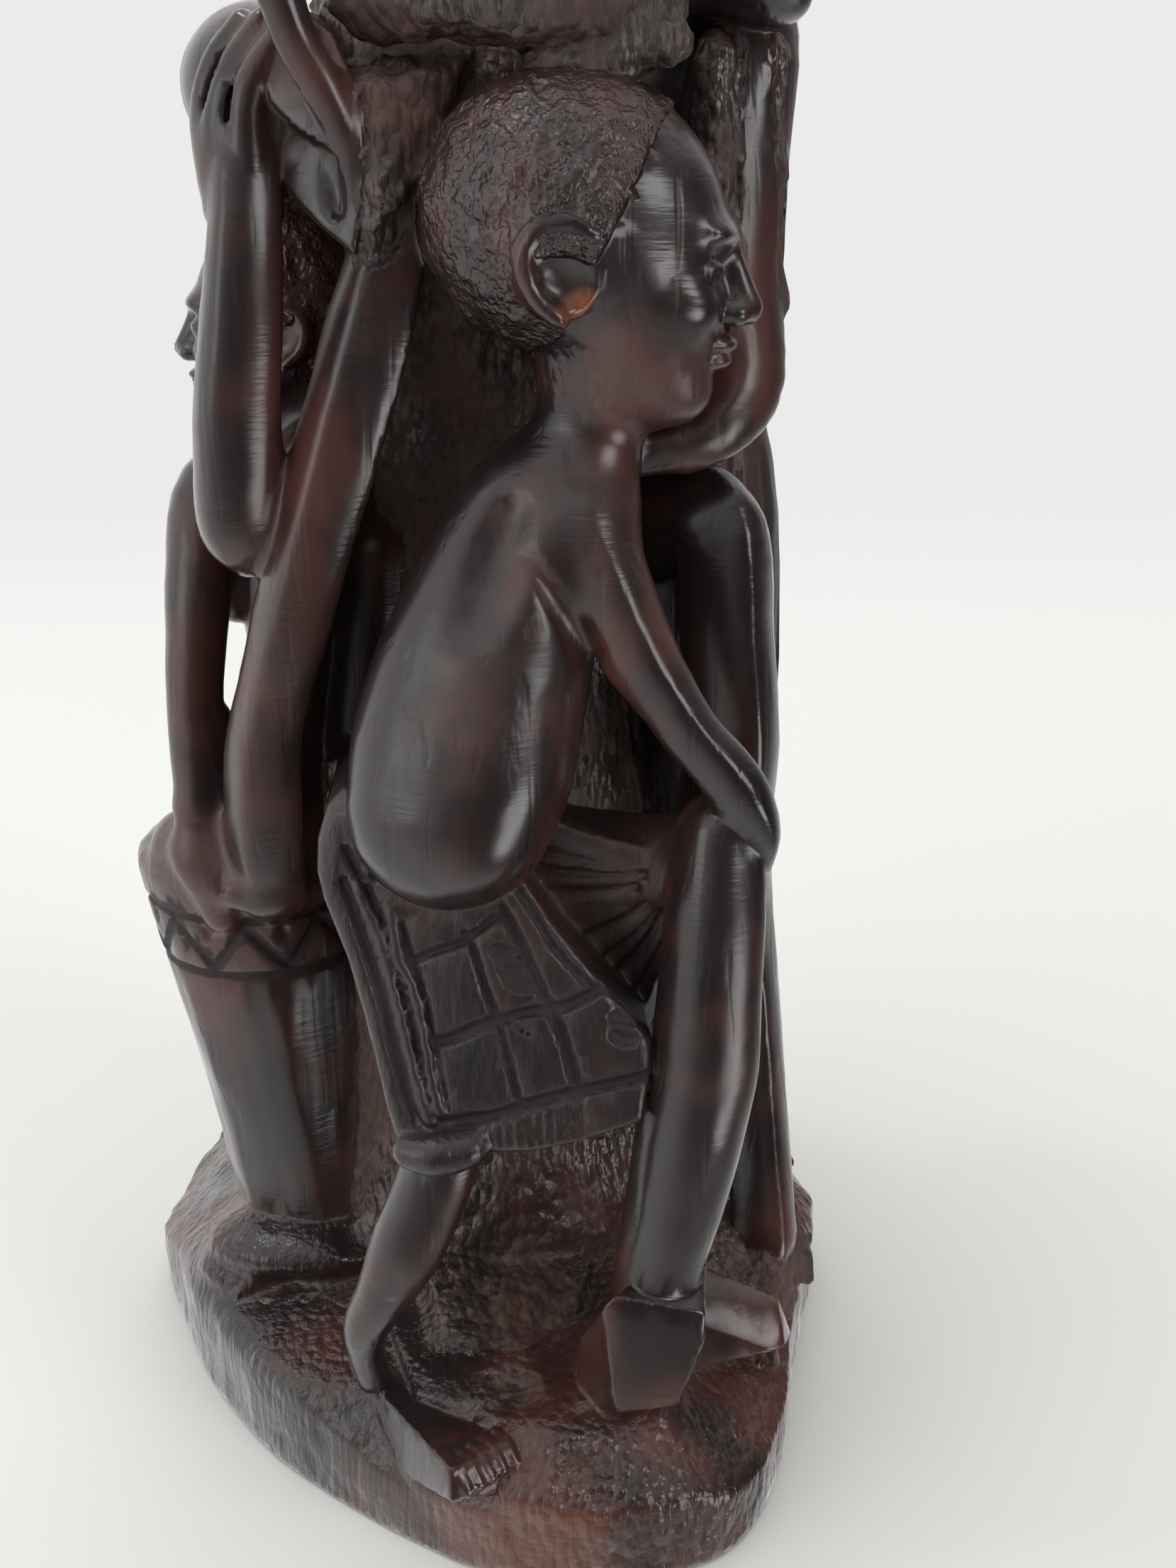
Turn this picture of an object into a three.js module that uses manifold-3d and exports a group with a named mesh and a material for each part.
// A hardwood family-tree carving: one log, 250 mm tall, cut into a column of entwined villagers on a low round base.
// Millimetres, +Z up. The origin is the middle of the underside and -Y is the side that is seen first.
import * as THREE from "three";
import { mergeVertices } from "three/addons/utils/BufferGeometryUtils.js";
import Module from "manifold-3d";

// Overall sizes
const CARVING_HEIGHT = 250;
const LOG_RADIUS = 50;
const BASE_THICKNESS = 18;
const BASE_EDGE_HEIGHT = 13.5;
const BASE_BOTTOM_CHAMFER = 1.2;
const STEP_HEIGHT = 5;

// The tapering drum at the left
const DRUM_HEIGHT = 57;
const DRUM_TOP_RADIUS = 13.8;
const DRUM_FOOT_RADIUS = 10.8;
const DRUM_LEAN = 7;
const DRUM_EDGE = 2.5;
const BAND_HEIGHT = 7.5;
const BAND_BELOW_RIM = 6.5;
const BAND_GROOVE = 1.2;
const BAND_TRIANGLES = 10;

// Cloth carving
const CHECK_GROOVE = 1.1;
const PLEAT_COUNT = 6;

// Poses are shares of the log: 232 parts up from the top of the base, and 50 parts out from its middle.
const PARTS_UP = 232;
const PARTS_OUT = 50;
const tall = (CARVING_HEIGHT - BASE_THICKNESS) / PARTS_UP;
const wide = LOG_RADIUS / PARTS_OUT;
const RIGHT = new THREE.Vector3(1, 0, 0);
const UP = new THREE.Vector3(0, 0, 1);

const END_BULGE = 0.6;
const SMALLEST_FACE = 0.02;
const WIDEST_TURN = 0.5;
const THINNING = [0.05, 0.1, 0.15];

const wasm = await Module();
wasm.setup();

function spot(x, y, z) {
  return new THREE.Vector3(x * wide, y * wide, z * tall + BASE_THICKNESS);
}

// Turns a closed geometry into a solid, leaving out the collapsed faces at the poles.
function solidOf(geometry) {
  const bare = new THREE.BufferGeometry().setAttribute("position", geometry.getAttribute("position"));
  bare.setIndex(geometry.index);
  const merged = mergeVertices(bare, 1e-4);
  const kept = [];
  for (let i = 0; i < merged.index.count; i += 3) {
    const [a, b, c] = [0, 1, 2].map((k) => merged.index.getX(i + k));
    if (a !== b && b !== c && c !== a) kept.push(a, b, c);
  }
  const vertProperties = new Float32Array(merged.attributes.position.array);
  const made = new wasm.Manifold(new wasm.Mesh({ numProp: 3, vertProperties, triVerts: new Uint32Array(kept) }));
  if (made.volume() > 0) return made;
  for (let i = 0; i < kept.length; i += 3) [kept[i], kept[i + 1]] = [kept[i + 1], kept[i]];
  return new wasm.Manifold(new wasm.Mesh({ numProp: 3, vertProperties, triVerts: new Uint32Array(kept) }));
}

// A bar whose girth changes along a smooth curve: a turned profile bent along the curve.
// The section is `flat` times as deep as it is wide, and `across` is its wide way.
function bend(points, radii, { sides = 7, steps = 1, flat = 1, across = RIGHT } = {}) {
  const path = new THREE.CatmullRomCurve3(points, false, "centripetal");
  const girth = new THREE.SplineCurve(radii.map((r, i) => new THREE.Vector2(i, r)));
  const count = (points.length - 1) * steps;
  const rings = [];
  const addCap = (t, end) => {
    const tangent = path.getTangent(t);
    const radius = girth.getPoint(t).y;
    const centre = path.getPoint(t).addScaledVector(tangent, end * radius * END_BULGE);
    rings.push({ centre, tangent, radius: 0 });
  };
  addCap(0, -1);
  for (let i = 0; i <= count; i++) {
    const t = i / count;
    rings.push({ centre: path.getPoint(t), tangent: path.getTangent(t), radius: girth.getPoint(t).y });
  }
  addCap(1, 1);
  const profile = rings.map((ring, i) => new THREE.Vector2(ring.radius, i));
  const geometry = new THREE.LatheGeometry(profile, sides);
  const position = geometry.getAttribute("position");
  for (let i = 0; i < position.count; i++) {
    const { centre, tangent } = rings[Math.round(position.getY(i))];
    const wide = across.clone().addScaledVector(tangent, -across.dot(tangent)).normalize();
    const deep = wide.clone().cross(tangent);
    const at = centre.clone().addScaledVector(wide, position.getX(i)).addScaledVector(deep, position.getZ(i) * flat);
    position.setXYZ(i, at.x, at.y, at.z);
  }
  return geometry;
}

// A limb is a bar through stations of [x, y, z, radius] in parts.
function limb(stations, options) {
  return bend(stations.map(([x, y, z]) => spot(x, y, z)), stations.map((s) => s[3] * wide), options);
}

// An egg of the given half sizes, turned about its own axes.
function egg([x, y, z], [rx, ry, rz], [ax, ay, az] = [0, 0, 0], [around, down] = [9, 6]) {
  const shape = new THREE.SphereGeometry(1, around, down).rotateX(Math.PI / 2);
  const turn = new THREE.Quaternion().setFromEuler(new THREE.Euler(ax, ay, az, "ZYX"));
  const size = new THREE.Vector3(rx, ry, rz).multiplyScalar(wide);
  return shape.applyMatrix4(new THREE.Matrix4().compose(spot(x, y, z), turn, size));
}

// A head in shares of its own height, made looking along +X and then placed. Turn is about the upright axis.
function head({ at, size, turn, nod = 0, fine = false }) {
  const scale = size * wide;
  const placed = new THREE.Matrix4().compose(
    spot(...at),
    new THREE.Quaternion().setFromEuler(new THREE.Euler(0, nod, turn, "ZYX")),
    new THREE.Vector3(scale, scale, scale),
  );
  const ball = ([x, y, z], [rx, ry, rz], [around, down], tip = 0) =>
    new THREE.SphereGeometry(1, around, down).rotateX(Math.PI / 2).scale(rx, ry, rz).rotateY(tip).translate(x, y, z);
  const nose = bend(
    [new THREE.Vector3(0.39, 0, 0.06), new THREE.Vector3(0.47, 0, -0.11)],
    [0.04, 0.065],
    { sides: 5, across: UP },
  );
  const parts = [
    ball([-0.06, 0, 0.11], [0.44, 0.36, 0.39], fine ? [14, 9] : [9, 6]),
    ball([0.13, 0, -0.1], [0.28, 0.25, 0.37], fine ? [12, 8] : [8, 6]),
    ball([0.385, 0, -0.24], [0.06, 0.11, 0.05], [6, 4]),
    nose,
  ];
  for (const side of [-1, 1]) {
    parts.push(ball([-0.04, side * 0.33, -0.03], [0.1, 0.055, 0.15], [6, 4], 0.2));
  }
  if (fine) {
    parts.push(ball([0.04, 0, 0.07], [0.41, 0.31, 0.37], [12, 8]));
    parts.push(ball([0.3, 0, -0.37], [0.1, 0.11, 0.09], [8, 6]));
    parts.push(ball([0.37, 0, 0.085], [0.07, 0.2, 0.05], [8, 4]));
  }
  return parts.map((part) => part.applyMatrix4(placed));
}

// A palm with fingers side by side. It starts at the wrist and lies along `reach`.
function hand({ at, reach, spread, size = 10, fingers = 4, curl = 0 }) {
  const way = new THREE.Vector3(...reach).normalize();
  const side = new THREE.Vector3(...spread);
  side.addScaledVector(way, -side.dot(way)).normalize();
  const inward = way.clone().cross(side);
  const wrist = spot(...at);
  const length = size * wide;
  const point = (along, out, down) => {
    const place = wrist.clone().addScaledVector(way, along * length);
    return place.addScaledVector(side, out * length).addScaledVector(inward, down * length);
  };
  const palmEnd = fingers ? 0.5 : 0.85;
  const palm = bend([point(-0.1, 0, 0), point(palmEnd, 0, curl * 0.3)], [0.24 * length, 0.34 * length], {
    sides: 6,
    flat: 0.6,
    across: side,
  });
  const parts = [palm];
  for (let i = 0; i < fingers; i++) {
    const out = (i - (fingers - 1) / 2) * 0.17;
    const knuckles = [point(0.45, out, 0), point(1.1, out * 1.2, curl)];
    parts.push(bend(knuckles, [0.095 * length, 0.08 * length], { sides: 4, across: side }));
  }
  return parts;
}

// A bare foot from heel to toes, with the ankle above the heel end.
function foot({ heel, toes, width = 11, height = 6, toeCount = 5 }) {
  const from = spot(...heel);
  const way = spot(...toes).sub(from);
  const length = way.length();
  way.normalize();
  const side = way.clone().cross(UP).normalize();
  const [w, h] = [width * wide, height * wide];
  const point = (along, out, up) =>
    from.clone().addScaledVector(way, along * length).addScaledVector(side, out * w).addScaledVector(UP, up * h);
  const ball = toeCount ? 0.72 : 0.85;
  const sole = bend([point(0.08, 0, 0.42), point(0.35, 0, 0.35), point(ball, 0, 0.12)], [0.3 * w, 0.34 * w, 0.46 * w], {
    flat: 0.75,
    across: side,
  });
  const parts = [sole];
  for (let i = 0; i < toeCount; i++) {
    const out = ((i - (toeCount - 1) / 2) / toeCount) * 0.95;
    const toe = [point(0.72, out * 0.9, 0.12), point(0.98 - Math.abs(out) * 0.12, out, 0)];
    parts.push(bend(toe, [0.11 * w, 0.1 * w], { sides: 4, across: side }));
  }
  return parts;
}

const BASE_SIDES = 36;

// The rim of the base as the log left it, in shares of LOG_RADIUS every 15 degrees, from +X towards the back.
const RIM = [
  0.93, 0.993, 1.01, 1.02, 1.03, 1.02, 1.02, 1.03, 1.03, 1.03, 1.03, 1.005,
  0.89, 0.83, 0.8, 0.8, 0.82, 0.88, 0.98, 1.056, 1.09, 1.0, 0.905, 0.885,
];
const rimCurve = new THREE.SplineCurve([...RIM, RIM[0]].map((share, i) => new THREE.Vector2(i, share)));

function rimAt(angle) {
  const turn = THREE.MathUtils.euclideanModulo(angle / (2 * Math.PI), 1);
  return rimCurve.getPoint(turn).y * LOG_RADIUS;
}

// The base is a disc with the log's outline. Its top slopes down to the rim.
function base() {
  const slope = BASE_THICKNESS - BASE_EDGE_HEIGHT;
  const profile = [
    [0, 0],
    [0.975, 0],
    [1, BASE_BOTTOM_CHAMFER],
    [0.985, BASE_EDGE_HEIGHT],
    [0.91, BASE_THICKNESS - slope * 0.35],
    [0.76, BASE_THICKNESS],
    [0, BASE_THICKNESS],
  ];
  const disc = new THREE.LatheGeometry(profile.map(([r, z]) => new THREE.Vector2(r, z)), BASE_SIDES);
  disc.rotateX(Math.PI / 2);
  const position = disc.getAttribute("position");
  for (let i = 0; i < position.count; i++) {
    const [x, y] = [position.getX(i), position.getY(i)];
    const reach = rimAt(Math.atan2(y, x));
    position.setXYZ(i, x * reach, y * reach, position.getZ(i));
  }
  return disc;
}

// The step's middle and half-widths, in parts.
const STEP_MIDDLE = [-27, 4];
const STEP_HALF = [17, 21];
const STEP_SIDES = 18;

// The raised step under the drum.
function step() {
  const [middleX, middleY] = STEP_MIDDLE;
  const [halfX, halfY] = STEP_HALF;
  const profile = [[0, -STEP_HEIGHT], [1, -STEP_HEIGHT], [0.97, STEP_HEIGHT * 0.35], [0.84, STEP_HEIGHT], [0, STEP_HEIGHT]];
  return new THREE.LatheGeometry(profile.map(([r, z]) => new THREE.Vector2(r, z)), STEP_SIDES)
    .rotateX(Math.PI / 2)
    .scale(halfX * wide, halfY * wide, 1)
    .translate(middleX * wide, middleY * wide, BASE_THICKNESS);
}

const DRUM_SIDES = 20;

// The drum stands in the step and leans to the left. These are its middles, in parts, and its rim's height.
const drumFoot = { x: -22.8, y: -1 };
const drumTop = { x: drumFoot.x - DRUM_LEAN / wide, y: drumFoot.y, z: DRUM_HEIGHT / tall };
const drumRadius = (z) => THREE.MathUtils.lerp(DRUM_FOOT_RADIUS, DRUM_TOP_RADIUS, Math.max(0, z) / DRUM_HEIGHT);
const bandTop = DRUM_HEIGHT - BAND_BELOW_RIM;
const bandLow = bandTop - BAND_HEIGHT;

function leaning(geometry) {
  const lean = new THREE.Matrix4().makeShear(0, 0, 0, 0, -DRUM_LEAN / DRUM_HEIGHT, 0);
  return geometry.applyMatrix4(lean).translate(drumFoot.x * wide, drumFoot.y * wide, BASE_THICKNESS);
}

function drum() {
  const groove = (z) => [
    [drumRadius(z), z - BAND_GROOVE / 2],
    [drumRadius(z) - BAND_GROOVE * 0.8, z],
    [drumRadius(z), z + BAND_GROOVE / 2],
  ];
  const profile = [
    [0, 0],
    [drumRadius(0), 0],
    [drumRadius(bandLow * 0.5) - 0.4, bandLow * 0.5],
    ...groove(bandLow),
    ...groove(bandTop),
    [drumRadius(DRUM_HEIGHT), DRUM_HEIGHT - DRUM_EDGE],
    [drumRadius(DRUM_HEIGHT) - DRUM_EDGE, DRUM_HEIGHT],
    [0, DRUM_HEIGHT],
  ];
  return leaning(new THREE.LatheGeometry(profile.map(([r, z]) => new THREE.Vector2(r, z)), DRUM_SIDES).rotateX(Math.PI / 2));
}

// Thin bars sunk into the drum's band as a zigzag.
function bandCuts() {
  const middle = (bandTop + bandLow) / 2;
  const pitch = Math.PI / BAND_TRIANGLES;
  const slant = Math.atan2(drumRadius(middle) * pitch, BAND_HEIGHT);
  const bars = [];
  for (let i = 0; i < 2 * BAND_TRIANGLES; i++) {
    const bar = new THREE.BoxGeometry(BAND_GROOVE, BAND_GROOVE, BAND_HEIGHT / Math.cos(slant))
      .rotateZ(Math.PI / 4)
      .rotateY(i % 2 ? slant : -slant)
      .translate(0, -drumRadius(middle), middle)
      .rotateZ((i + 0.5) * pitch);
    bars.push(leaning(bar));
  }
  return bars;
}

// A slab of cloth: an outline in the X-Z plane, cut back along +Y, leaning forward as it comes down.
const CLOTH_SLOPE = 0.13;
function hung(geometry, front, level) {
  const lean = new THREE.Matrix4().makeShear(0, 0, 0, 0, 0, CLOTH_SLOPE);
  const shift = front - level * CLOTH_SLOPE;
  return geometry.applyMatrix4(lean).translate(0, shift, 0).scale(wide, wide, tall).translate(0, 0, BASE_THICKNESS);
}

function cloth(outline, { front, level, depth, bevel = 3 }) {
  const shape = new THREE.Shape(outline.map(([x, z]) => new THREE.Vector2(x, z)));
  const slab = new THREE.ExtrudeGeometry(shape, {
    depth: depth - 2 * bevel,
    bevelThickness: bevel,
    bevelSize: bevel,
    bevelOffset: -bevel,
    bevelSegments: 2,
  });
  return hung(slab.rotateX(Math.PI / 2).translate(0, depth - bevel, 0), front, level);
}

// A groove along a chain of points on the front of a cloth.
function clothGroove(chain, { front, level }) {
  const bars = [];
  for (let i = 1; i < chain.length; i++) {
    const [x0, z0] = chain[i - 1];
    const [x1, z1] = chain[i];
    const length = Math.hypot(x1 - x0, z1 - z0);
    const bar = new THREE.BoxGeometry(length, CHECK_GROOVE, CHECK_GROOVE)
      .rotateX(Math.PI / 4)
      .rotateY(-Math.atan2(z1 - z0, x1 - x0))
      .translate((x0 + x1) / 2, 0, (z0 + z1) / 2);
    bars.push(hung(bar, front, level));
  }
  return bars;
}

// The uncut heart of the log, which every figure grows out of.
function trunk() {
  const core = [[1, 8, 4, 27], [1, 9, 20, 25], [1, 9, 45, 24], [1, 9, 75, 22], [1, 9, 105, 18], [1, 7, 140, 20], [1, 6, 160, 15]];
  return [limb(core, { sides: 12 }), egg([0, -1, 142], [13, 16, 9], [0.2, 0, 0])];
}

// The man at the front bends forward, a hand on his knee.
const manSkirt = { front: -40, level: 38 };
function bendingMan() {
  const skirt = [
    [-17, 66], [-18.6, 62], [-16.4, 55], [-14.6, 48], [-12.6, 40], [-10.6, 32.5], [-8, 29.6],
    [2.3, 31.5], [11, 34.5], [17.6, 38.2], [17.2, 43.5], [12, 52], [6.6, 61], [3, 66],
  ];
  return [
    ...head({ at: [12.6, -23, 126], size: 34, turn: -0.1, nod: 0.06, fine: true }),
    limb([[12.4, -22, 116, 6.5], [12.6, -22.5, 108, 5.2], [11.6, -22.5, 101, 7.2]]),
    limb([[12, -22, 104, 5], [7.4, -23, 95, 10.6], [2, -25, 84.5, 12], [-2, -26, 75, 12], [-4.6, -27, 62.5, 10.4]], { sides: 12, steps: 2 }),
    limb([[8, -25, 98, 6], [12.8, -29.5, 98.6, 5.6], [16.2, -32, 91, 4.6], [20.3, -34, 84, 3.9], [25, -35.5, 77, 3.6],
      [30.2, -36, 70, 3.8], [29, -36.5, 64, 3.4]]),
    ...hand({ at: [31, -37, 68.5], reach: [-0.75, -0.1, -0.65], spread: [0.3, -1, 0], size: 8.5 }),
    cloth(skirt, { ...manSkirt, depth: 22 }),
    limb([[-7, -22, 60, 9], [2, -25, 62, 9], [14, -29, 64, 8], [25, -33.5, 65, 7]], { sides: 8, across: UP }),
    limb([[25.8, -34.5, 69, 5.6], [25.4, -35, 62, 6.8], [24.6, -36, 53, 6.2], [22.6, -37.5, 36, 6], [19.6, -38.5, 18, 5.4],
      [18.8, -39, 6, 5]], { sides: 9 }),
    limb([[-9, -27, 45, 8], [-6.6, -35, 31, 6], [-8.6, -36.5, 22, 5.5], [-13, -37.5, 12, 4.4], [-15.4, -37, 3, 4.4]], { sides: 8 }),
    ...foot({ heel: [-17.2, -35, 0], toes: [-1.6, -48.4, -2], width: 10.5, height: 7 }),
    blockFoot(),
    ...pleats([26, -32.5, 62.5]),
  ];
}

// The far foot's block, in parts. It narrows upwards, leans aside at its foot and is turned a little.
const BLOCK_WIDTH = 12.5;
const BLOCK_DEPTH = 12;
const BLOCK_HEIGHT = 16;
const BLOCK_TAPER = 0.12;
const BLOCK_SKEW = 2;
const BLOCK_TURN = -0.14;
const BLOCK_MIDDLE = [18.2, -38.5, 5];

// The man's far foot was left as a squared block under a ledge at the ankle.
function blockFoot() {
  const block = new THREE.BoxGeometry(BLOCK_WIDTH, BLOCK_DEPTH, BLOCK_HEIGHT, 1, 1, 2);
  const position = block.getAttribute("position");
  for (let i = 0; i < position.count; i++) {
    const up = position.getZ(i) / BLOCK_HEIGHT + 0.5;
    position.setX(i, position.getX(i) * (1 - BLOCK_TAPER * up) + BLOCK_SKEW * (1 - up));
  }
  const { x, y, z } = spot(...BLOCK_MIDDLE);
  return block.scale(wide, wide, tall).rotateZ(BLOCK_TURN).translate(x, y, z);
}

// The first and last pleat's angle in radians and reach in parts, how far they lie back, and their radii.
const PLEAT_ANGLES = [0.12, 0.98];
const PLEAT_REACH = [20, 26];
const PLEAT_DEPTH = 6;
const PLEAT_RADII = [2.6, 3.2, 3.8];

// Pleats of the wrapped cloth fan out below the far knee.
function pleats([kneeX, kneeY, kneeZ]) {
  const made = [];
  for (let i = 0; i < PLEAT_COUNT; i++) {
    const share = i / (PLEAT_COUNT - 1);
    const angle = THREE.MathUtils.lerp(...PLEAT_ANGLES, share);
    const reach = THREE.MathUtils.lerp(...PLEAT_REACH, share);
    const end = [kneeX - reach * Math.cos(angle), kneeY + PLEAT_DEPTH, kneeZ - reach * Math.sin(angle)];
    const middle = [(kneeX + end[0]) / 2, kneeY + PLEAT_DEPTH / 3, (kneeZ + end[2]) / 2];
    const [tight, open, hem] = PLEAT_RADII;
    made.push(limb([[kneeX, kneeY, kneeZ, tight], [...middle, open], [...end, hem]], { sides: 5 }));
  }
  return made;
}

// Woven checks on the man's skirt.
function skirtCuts() {
  const lines = [
    [[-13.5, 58.5], [-5.2, 32]],
    [[-10, 58], [-2.6, 32.5]],
    [[-3.6, 56.5], [-0.3, 43], [2.8, 34.5]],
    [[2, 56], [10, 37]],
    [[-12.4, 49], [2, 51.5], [10.6, 53.5]],
    [[-9, 41], [-0.1, 43], [14, 47.4]],
    [[-8.5, 33], [6, 36.5], [15.5, 41.5]],
  ];
  return lines.flatMap((line) => clothGroove(line, manSkirt));
}

// The woman at the left plays the drum and steadies a pot on her head.
function drummer() {
  const rim = drumTop.z;
  return [
    ...head({ at: [-21, 1, 118.5], size: 26, turn: Math.PI - 0.15 }),
    limb([[-17.5, 2, 110, 6], [-18, 4, 100, 9.5], [-19, 6, 88, 10], [-18, 8, 70, 10.5], [-18, 11, 48, 13], [-21, 17, -2, 14]], { sides: 9 }),
    limb([[-22, 4, 101, 6], [-30.5, 0, 100, 4.2], [-32, -6, 89.4, 3.9], [-33, -8.5, 78.9, 3.4], [-32.4, -9.5, rim + 2, 3.6]]),
    ...hand({ at: [-32, -9.5, rim + 3.4], reach: [0.15, -0.5, -0.85], spread: [1, 0, 0], size: 9 }),
    limb([[-17, -1, 104, 6], [-22, -11, 98, 4.8], [-24, -17.5, 98, 4.8], [-23.4, -18.5, 107, 4.6], [-22.6, -18, 118, 4.2],
      [-21.4, -16.5, 133, 3.6]]),
    ...hand({ at: [-21.4, -16, 132], reach: [-0.1, 0.35, 1], spread: [1, 0.2, 0], size: 14, curl: -0.35 }),
    egg([-20.6, -3, 143], [9.6, 12, 9], [0, 0, 0], [12, 8]),
    limb([[-20, 2, 126, 9], [-20, 3, 140, 8]]),
    limb([[-9.8, -18, 130, 5], [-13, -20, 112, 5.6], [-17, -21, 101, 5.6], [-23, -20, 81, 5.2], [-26, -16.5, rim + 6, 4.8],
      [-27.2, -14, rim - 4, 4.6]], { sides: 6, flat: 1.3 }),
    limb([[-12.4, -8, 93, 4.6], [-13.2, -8.5, 86, 5.8], [-15.3, -10, 70, 5.6]]),
  ];
}

// The standing man at the right wears a wrapped cloth and reaches an arm down past the bending man's face.
function standingMan() {
  return [
    ...head({ at: [25, 9, 169], size: 26, turn: 0.35 }),
    limb([[24, 8, 160, 5.4], [24, 6, 151, 9], [23.5, 5, 142, 11], [23, 5, 128, 10], [22, 4, 112, 11.5], [21, 4, 98, 13]], { sides: 9 }),
    limb([[26, 1, 153, 5.5], [32, -8, 150, 4.2], [31.4, -13, 137, 4], [31, -17, 123, 3.7], [30.6, -20, 110, 3.8],
      [23.5, -21, 107.5, 2.8], [16, -20, 106, 3]], { steps: 2, sides: 6 }),
    limb([[25, 10, 153, 6], [32, 20, 144, 4.8], [34, 26, 130, 4.2], [28, 34, 124, 3.8], [15, 37, 124, 3.6]], { sides: 6 }),
    limb([[20, -5, 97, 8], [27.2, -13, 97, 6.2], [28.6, -15, 84.9, 6], [29.8, -16.5, 72, 5.6], [30, -13.5, 60, 5.6],
      [31.6, -9, 48, 5.4], [33.6, -7.5, 36, 5], [35, -10, 20, 4.8], [36, -16, 4, 4.6]]),
    ...foot({ heel: [35.4, -17, 2], toes: [30, -36, 1.5], width: 9, height: 8, toeCount: 3 }),
    limb([[21, 5, 116, 11], [23.5, 6, 100, 13.6], [25, 7, 82, 13.8], [25.5, 7, 66, 13], [25.5, 8, 58, 11.4]], { sides: 10 }),
    limb([[29, 9, 66, 8], [31, 10, 48, 7], [33, 14, 20, 5.6], [33, 17, 0, 5.6]], { sides: 8 }),
    ...foot({ heel: [33, 18, 1], toes: [41, 3, 0], width: 10, height: 7, toeCount: 3 }),
  ];
}

// The seated woman at the back rests her hands on her knees.
function seatedWoman() {
  const half = [-1, 1].flatMap((side) => [
    limb([[side * 8, 26, 52, 9.5], [side * 9.5, 40, 53, 7.5], [side * 10.4, 44.5, 46, 6.6], [side * 10.5, 42, 26, 6],
      [side * 10.5, 39, 2, 5.2]]),
    ...foot({ heel: [side * 10.5, 36, 1], toes: [side * 13, 49, -1], width: 10, height: 7, toeCount: 3 }),
    limb([[side * 9, 26, 93, 6.5], [side * 17.5, 28, 88, 5], [side * 19.5, 32, 72, 4.4], [side * 12, 43, 60, 4]], { sides: 6 }),
    egg([side * 6.5, 36, 82], [5, 5.5, 6.5], [0, 0, 0], [7, 5]),
  ]);
  return [
    ...head({ at: [0, 29, 112], size: 27, turn: Math.PI / 2, nod: 0.1 }),
    limb([[0, 27, 104, 5], [0, 25, 92, 12], [0, 25, 80, 11], [0, 24, 70, 10], [0, 23, 52, 15]], { sides: 9 }),
    limb([[0, 30, 56, 15], [0, 33, 44, 16.5], [0, 34, 26, 17], [0, 33, 16, 16]], { sides: 10, flat: 0.62, across: RIGHT }),
    ...half,
  ];
}

// A child clings to the back, above the seated woman.
function climber() {
  const half = [-1, 1].flatMap((side) => [
    limb([[side * 5, 24, 142, 6.5], [side * 13, 32, 150, 4.8], [side * 13, 27, 136, 4.4], [side * 11, 28, 126, 4.2]]),
    limb([[side * 8, 23, 166, 4.8], [side * 13, 21, 172, 3.8], [side * 11.5, 14, 182, 3.6]], { sides: 6 }),
    ...foot({ heel: [side * 11, 24, 126], toes: [side * 13, 35, 126], width: 8.5, height: 6, toeCount: 0 }),
  ]);
  return [
    ...head({ at: [1, 24.5, 184], size: 24, turn: Math.PI / 2 + 0.5 }),
    limb([[0, 21, 178, 5], [0, 20, 166, 9], [0, 20, 156, 9], [0, 19, 140, 11]], { sides: 8 }),
    ...half,
  ];
}

// The elder sits on top of them all, feet drawn up, hands on knees.
function elder() {
  const half = [-1, 1].flatMap((side) => [
    limb([[side * 9, 1, 192, 6.5], [side * 18, 0, 186, 5.2], [side * 21.6, -2, 172, 4.6], [side * 20.5, -17, 172.5, 4]]),
    ...hand({ at: [side * 20.6, -15, 173], reach: [0, -0.8, -0.45], spread: [1, 0, 0], size: 9.5, curl: -0.1 }),
  ]);
  return [
    ...head({ at: [1, -2, 215.4], size: 33, turn: -Math.PI / 2, nod: 0.05 }),
    limb([[0.5, 0, 208, 6.5], [0, 1, 199, 7], [0, 2, 193, 12.5], [0, 2, 185, 13.5], [0, 3, 170, 12.5], [0, 4, 154, 16]], { sides: 10 }),
    limb([[-6, 0, 160, 9], [-15, -12, 166, 7.2], [-20, -19.5, 166, 6.2], [-18, -16.5, 153, 5.2], [-14.6, -17.5, 140, 4.6],
      [-11.4, -20, 130, 4.2]], { sides: 8 }),
    limb([[6, 0, 160, 9], [15, -12, 167, 7.4], [21.5, -19, 168, 6.4], [22.5, -15, 157, 5.2], [20, -11, 148, 5.4]], { sides: 8 }),
    ...foot({ heel: [17.5, -11, 146], toes: [35, -14, 147.5], width: 11, height: 7 }),
    limb([[1, -12, 148, 8], [-3.5, -17, 141, 7], [-6.5, -20, 131, 4]], { sides: 5 }),
    ...half,
  ];
}

// Everything is one piece of wood: the parts are joined, and then the grooves are cut.
const added = [
  base(),
  step(),
  drum(),
  ...trunk(),
  ...bendingMan(),
  ...drummer(),
  ...standingMan(),
  ...seatedWoman(),
  ...climber(),
  ...elder(),
];
const removed = [...bandCuts(), ...skirtCuts()];
const joined = wasm.Manifold.union(added.map(solidOf));
const carved = joined.subtract(wasm.Manifold.union(removed.map(solidOf)));

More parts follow.
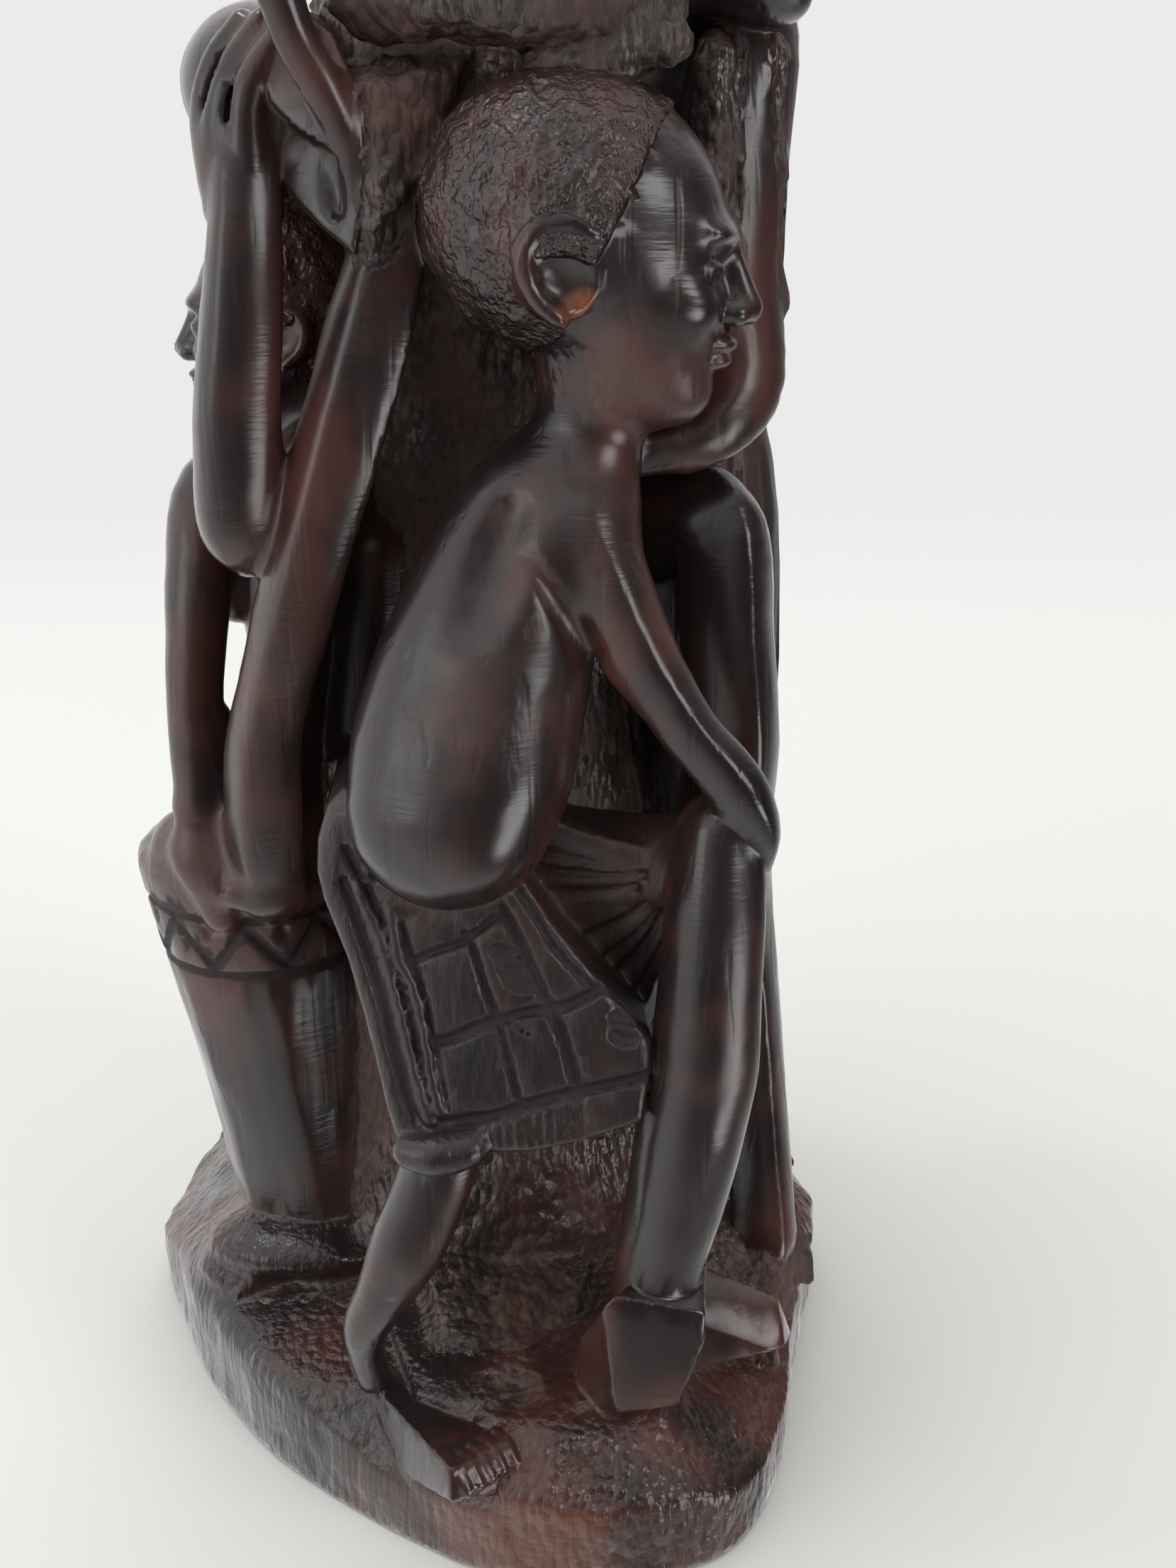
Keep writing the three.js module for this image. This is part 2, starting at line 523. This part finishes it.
// Takes out corners that the shape hardly needs. A corner slides into a neighbour where no face turns far and
// none ends up further than `stray` from it.
function thinned({ vertProperties, triVerts }, stray) {
  const corners = [];
  for (let i = 0; i < vertProperties.length; i += 3) corners.push(new THREE.Vector3().fromArray(vertProperties, i));
  const faces = [];
  for (let i = 0; i < triVerts.length; i += 3) faces.push([...triVerts.slice(i, i + 3)]);
  const around = corners.map(() => new Set());
  faces.forEach((face, f) => face.forEach((v) => around[v].add(f)));
  const nextTo = (v) => new Set([...around[v]].flatMap((f) => faces[f].filter((w) => w !== v)));
  const normalOf = ([a, b, c]) => {
    const edge = corners[b].clone().sub(corners[a]);
    return edge.cross(corners[c].clone().sub(corners[a]));
  };
  const strayOf = (v, w) => {
    let worst = 0;
    for (const f of around[v]) {
      if (faces[f].includes(w)) continue;
      const before = normalOf(faces[f]).normalize();
      const after = normalOf(faces[f].map((corner) => (corner === v ? w : corner)));
      if (after.length() < SMALLEST_FACE || after.normalize().dot(before) < WIDEST_TURN) return Infinity;
      worst = Math.max(worst, Math.abs(after.dot(corners[v].clone().sub(corners[w]))));
    }
    return worst;
  };
  corners.forEach((_, v) => {
    const near = nextTo(v);
    let best = { worst: stray };
    for (const w of near) {
      const shared = [...nextTo(w)].filter((corner) => near.has(corner)).length;
      if (shared !== 2) continue;
      const worst = strayOf(v, w);
      if (worst < best.worst) best = { worst, w };
    }
    if (best.w === undefined) return;
    for (const f of around[v]) {
      if (faces[f].includes(best.w)) {
        faces[f].forEach((corner) => corner !== v && around[corner].delete(f));
        faces[f] = null;
      } else {
        faces[f][faces[f].indexOf(v)] = best.w;
        around[best.w].add(f);
      }
    }
    around[v].clear();
  });
  const left = faces.filter(Boolean);
  return { vertProperties, triVerts: new Uint32Array(left.flat()) };
}

function meshOf(solid, name, material) {
  let form = solid.getMesh();
  for (const stray of THINNING) form = thinned(form, stray);
  const geometry = new THREE.BufferGeometry();
  geometry.setAttribute("position", new THREE.BufferAttribute(form.vertProperties, 3));
  geometry.setIndex(new THREE.BufferAttribute(form.triVerts, 1));
  geometry.computeVertexNormals();
  const mesh = new THREE.Mesh(geometry, material);
  mesh.name = name;
  return mesh;
}

const blackwood = new THREE.MeshStandardMaterial({ color: 0x1c1512, roughness: 0.4, metalness: 0 });
const carving = new THREE.Group();
carving.add(meshOf(carved, "carving", blackwood));

export default carving;
